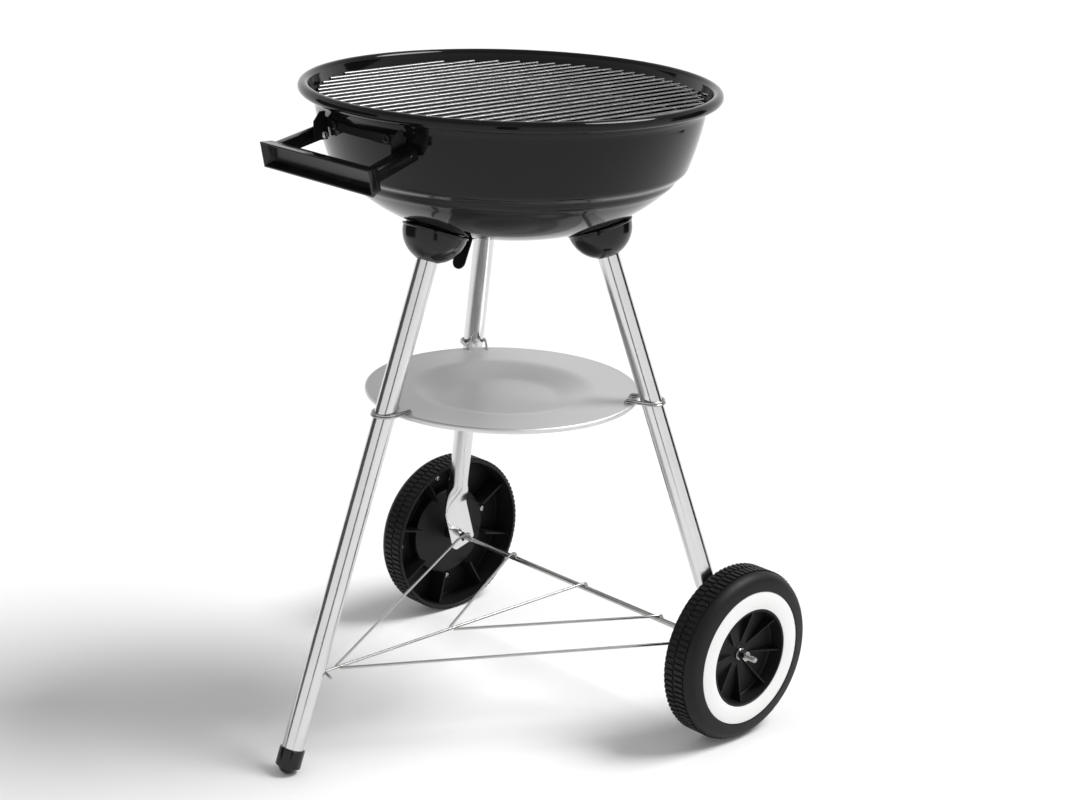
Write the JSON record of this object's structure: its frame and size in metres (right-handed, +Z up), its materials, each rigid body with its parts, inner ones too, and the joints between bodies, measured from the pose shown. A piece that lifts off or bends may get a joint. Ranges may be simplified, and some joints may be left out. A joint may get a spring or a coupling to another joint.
{
  "type": "kettle charcoal grill",
  "caption": "Open kettle charcoal grill: black enamelled bowl with wire grates on tubular tripod legs, with an ash plate, two wheels on an axle and a side handle.",
  "frame": {"origin": "on the floor, under the middle of the grill's outline; the bowl's axis is 33.4 mm towards +Y of it", "axes": "+Z up, +X along the axle towards the right wheel, -Y towards the handle and the front foot"},
  "size_m": [0.5094, 0.5197, 0.6726],
  "materials": {
    "black_enamel": "glossy vitreous enamel",
    "black_plastic": "glossy moulded plastic",
    "wheel_plastic": "satin moulded plastic",
    "white_plastic": "smooth moulded plastic",
    "leg_chrome": "chromed tube with fine lengthwise lines",
    "zinc_steel": "bright zinc plate",
    "satin_plate": "satin aluminium paint on pressed sheet",
    "black_steel": "black heat-proof paint",
    "grate_chrome": "chromed wire",
    "grate_zinc": "dull plated wire"
  },
  "bodies": {
    "root": {"bowl": "black_enamel", "leg_socket_front": "black_plastic", "leg_plug_front": "black_plastic", "leg_bolt_front": "zinc_steel", "plate_clip_front": "zinc_steel", "leg_tube_front": "leg_chrome", "leg_socket_left": "black_plastic", "leg_plug_left": "black_plastic", "leg_bolt_left": "zinc_steel", "plate_clip_left": "zinc_steel", "leg_tube_left": "leg_chrome", "leg_socket_right": "black_plastic", "leg_plug_right": "black_plastic", "leg_bolt_right": "zinc_steel", "plate_clip_right": "zinc_steel", "leg_tube_right": "leg_chrome", "foot_cap": "black_plastic", "handle": "black_plastic", "axle": "zinc_steel", "brace_stem": "zinc_steel", "damper_bolt": "zinc_steel", "damper_nut": "zinc_steel", "axle_washer_left": "zinc_steel", "axle_nut_left": "zinc_steel", "brace_outer_left": "zinc_steel", "brace_inner_left": "zinc_steel", "handle_screw_left": "zinc_steel", "axle_inner_washer_left": "black_plastic", "strap_bolt_left": "black_steel", "strap_nut_left": "black_steel", "axle_washer_right": "zinc_steel", "axle_nut_right": "zinc_steel", "brace_outer_right": "zinc_steel", "brace_inner_right": "zinc_steel", "handle_screw_right": "zinc_steel", "axle_inner_washer_right": "black_plastic", "strap_bolt_right": "black_steel", "strap_nut_right": "black_steel", "ash_plate": "satin_plate", "handle_strap": "black_steel", "grate_tab_1": "black_steel", "grate_tab_2": "black_steel", "grate_tab_3": "black_steel", "grate_tab_4": "black_steel"},
    "wheel_left": {"wheel_left": "wheel_plastic", "white_ring_left": "white_plastic", "ring_screw_left_1": "zinc_steel", "ring_screw_left_2": "zinc_steel", "ring_screw_left_3": "zinc_steel", "ring_screw_left_4": "zinc_steel"},
    "wheel_right": {"wheel_right": "wheel_plastic", "white_ring_right": "white_plastic", "ring_screw_right_1": "zinc_steel", "ring_screw_right_2": "zinc_steel", "ring_screw_right_3": "zinc_steel", "ring_screw_right_4": "zinc_steel"},
    "damper": {"vent_damper": "black_steel"},
    "cooking_grate": {"cooking_grate": "grate_chrome"},
    "charcoal_grate": {"charcoal_grate": "grate_zinc"}
  },
  "joints": [
    {"name": "wheel_left_spin", "type": "hinge", "parent": "root", "child": "wheel_left", "pos_m": [-0.2286, 0.16691, 0.093], "axis": [1, 0, 0], "continuous": true},
    {"name": "wheel_right_spin", "type": "hinge", "parent": "root", "child": "wheel_right", "pos_m": [0.2286, 0.16691, 0.093], "axis": [1, 0, 0], "continuous": true},
    {"name": "damper_turn", "type": "hinge", "parent": "root", "child": "damper", "pos_m": [0, 0.03341, 0.5241], "axis": [0, 0, 1], "range_deg": [0, 45]},
    {"name": "cooking_grate_lift", "type": "slide", "parent": "root", "child": "cooking_grate", "axis": [0, 0, 1], "range_m": [0, 0.12]},
    {"name": "charcoal_grate_lift", "type": "slide", "parent": "root", "child": "charcoal_grate", "axis": [0, 0, 1], "range_m": [0, 0.05]}
  ]
}
